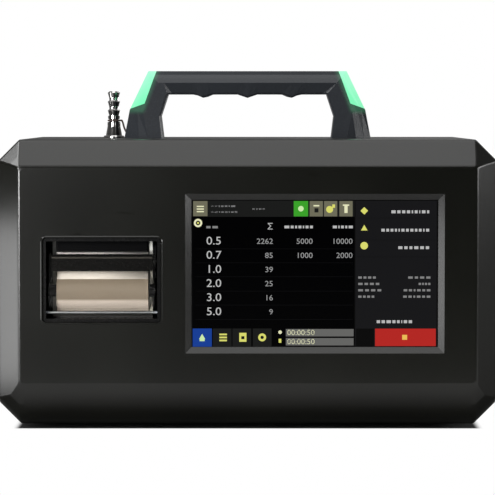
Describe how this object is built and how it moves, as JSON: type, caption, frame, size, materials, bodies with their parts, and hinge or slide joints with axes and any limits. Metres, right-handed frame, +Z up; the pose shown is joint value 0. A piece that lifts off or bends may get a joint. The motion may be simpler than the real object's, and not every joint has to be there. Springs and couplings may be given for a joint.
{
  "type": "airborne particle counter",
  "caption": "Portable bench instrument that draws air through an optical sensor and shows particle counts; bevelled case, carrying handle with status lights, touch screen and strip printer.",
  "frame": {"origin": "on the surface it stands on, under the middle of the case", "axes": "+X across the front to the right as seen from the front, +Y from front to back, +Z up"},
  "size_m": [0.313, 0.2112, 0.227],
  "materials": {
    "case_plastic": "fine textured moulding",
    "shell_plastic": "fine textured moulding",
    "handle_plastic": "satin moulding",
    "light_lens": "frosted light pipe",
    "black_rubber": "matt",
    "polished_steel": "polished",
    "bright_steel": "brushed",
    "plate_aluminium": "mill finish",
    "anodised_aluminium": "bead blasted",
    "brass": "turned",
    "screen_glass": "gloss touch panel over a lit display",
    "board_green": "solder mask",
    "black_plastic": "semi gloss",
    "smoked_clear": "clear smoked moulding",
    "pale_plastic": "natural moulding",
    "thermal_paper": "smooth",
    "platen_rubber": "ground",
    "hose_clear": "translucent hose",
    "filter_white": "moulded",
    "motor_steel": "zinc plated",
    "tether_plastic": "braided cord",
    "cap_rubber": "matt",
    "battery_case": "fine textured"
  },
  "bodies": {
    "case": {"front_housing": "case_plastic", "case_shell": "shell_plastic", "split_gasket": "black_rubber", "rear_panel": "shell_plastic", "base_feet": "black_rubber", "chassis_plate": "plate_aluminium", "handle_frame": "handle_plastic", "status_light_left": "light_lens", "status_light_right": "light_lens", "handle_screws": "bright_steel", "inlet_nozzle": "polished_steel", "inlet_nut": "bright_steel", "tether_ring": "tether_plastic", "cap_tether": "tether_plastic", "inlet_cap": "cap_rubber", "inlet_tube": "bright_steel", "sensor_block": "anodised_aluminium", "sensor_posts": "brass", "laser_housing": "anodised_aluminium", "light_trap": "black_plastic", "detector_board": "board_green", "vacuum_hose": "hose_clear", "pump_body": "black_plastic", "pump_motor": "motor_steel", "exhaust_hose": "hose_clear", "exhaust_filter": "filter_white", "exhaust_fitting": "bright_steel", "touch_panel": "screen_glass", "display_module": "bright_steel", "display_bracket": "plate_aluminium", "main_board": "board_green", "board_standoffs": "brass", "io_board": "board_green", "printer_frame": "black_plastic", "printer_motor": "motor_steel", "thermal_head": "plate_aluminium", "tear_bar": "bright_steel", "roll_cradle": "pale_plastic", "hinge_pins": "bright_steel", "battery_tray": "black_plastic", "battery_pack": "battery_case", "fan_frame": "black_plastic", "fan_guard": "bright_steel", "switch_body": "black_plastic", "port_sockets": "bright_steel", "dc_socket": "black_plastic", "speaker": "black_plastic", "case_screws": "bright_steel"},
    "printer_door": {"printer_door": "smoked_clear", "platen_bar": "black_plastic"},
    "platen": {"platen_roller": "platen_rubber", "platen_gear": "pale_plastic"},
    "idler": {"idler_gear": "pale_plastic"},
    "pinion": {"motor_pinion": "brass"},
    "paper_reel": {"paper_roll": "thermal_paper", "paper_spindle": "black_plastic"},
    "battery_door": {"battery_door": "shell_plastic"},
    "battery_latch": {"battery_latch": "bright_steel"},
    "fan": {"fan_rotor": "black_plastic"},
    "rocker": {"power_rocker": "black_plastic"}
  },
  "joints": [
    {"name": "printer_door_hinge", "type": "hinge", "parent": "case", "child": "printer_door", "pos_m": [-0.091, -0.099, 0.0749], "axis": [1, 0, 0], "range_deg": [0, 85]},
    {"name": "platen_spin", "type": "hinge", "parent": "printer_door", "child": "platen", "pos_m": [-0.091, -0.0952, 0.1065], "axis": [1, 0, 0], "continuous": true},
    {"name": "idler_spin", "type": "hinge", "parent": "case", "child": "idler", "pos_m": [-0.091, -0.08135, 0.1065], "axis": [1, 0, 0], "continuous": true},
    {"name": "pinion_spin", "type": "hinge", "parent": "case", "child": "pinion", "pos_m": [-0.091, -0.0688, 0.11235], "axis": [1, 0, 0], "continuous": true},
    {"name": "paper_reel_spin", "type": "hinge", "parent": "case", "child": "paper_reel", "pos_m": [-0.091, -0.08, 0.088], "axis": [1, 0, 0], "continuous": true},
    {"name": "battery_door_hinge", "type": "hinge", "parent": "case", "child": "battery_door", "pos_m": [0.106, 0.1024, 0.0149], "axis": [-1, 0, 0], "range_deg": [0, 100]},
    {"name": "battery_latch_turn", "type": "hinge", "parent": "battery_door", "child": "battery_latch", "pos_m": [0.106, 0.1, 0.054], "axis": [0, -1, 0], "range_deg": [0, 90]},
    {"name": "fan_spin", "type": "hinge", "parent": "case", "child": "fan", "pos_m": [-0.1, 0.09, 0.127], "axis": [0, 1, 0], "continuous": true},
    {"name": "power_rocker_tilt", "type": "hinge", "parent": "case", "child": "rocker", "pos_m": [0.054, 0.101, 0.125], "axis": [1, 0, 0], "range_deg": [0, 16]}
  ],
  "couplings": [
    {"joint": "platen_spin", "follows": "paper_reel_spin", "ratio": -4},
    {"joint": "idler_spin", "follows": "paper_reel_spin", "ratio": 1.4118},
    {"joint": "pinion_spin", "follows": "paper_reel_spin", "ratio": -4}
  ]
}
